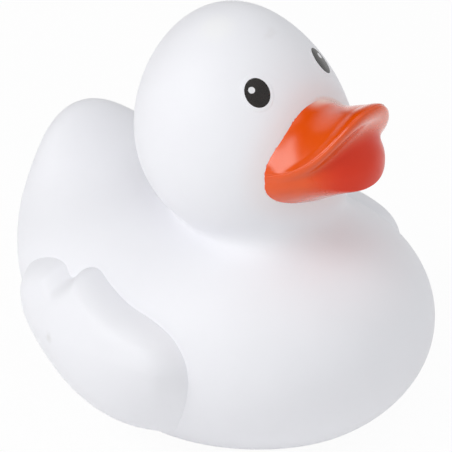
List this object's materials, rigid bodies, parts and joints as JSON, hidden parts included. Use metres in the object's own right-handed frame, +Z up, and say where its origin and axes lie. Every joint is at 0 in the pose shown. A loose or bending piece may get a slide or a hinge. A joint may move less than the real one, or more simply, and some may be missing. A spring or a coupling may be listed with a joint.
{
  "type": "squeezable toy duck",
  "caption": "Hollow soft vinyl toy duck with a flat base, raised wings, an upturned tail, a painted bill and painted eyes; it is squeezed in the hand or stood on a desk.",
  "frame": {"origin": "middle of the flat base", "axes": "+Z up from the base, -Y the way the bill points, X across the duck"},
  "size_m": [0.0752, 0.0822, 0.0772],
  "materials": {
    "vinyl": "satin white vinyl",
    "bill_paint": "gloss orange paint on the bill",
    "eye_paint": "gloss black paint on the eyes",
    "glint_paint": "white dot of paint in each eye"
  },
  "bodies": {
    "root": {"duck": "vinyl"}
  },
  "joints": []
}
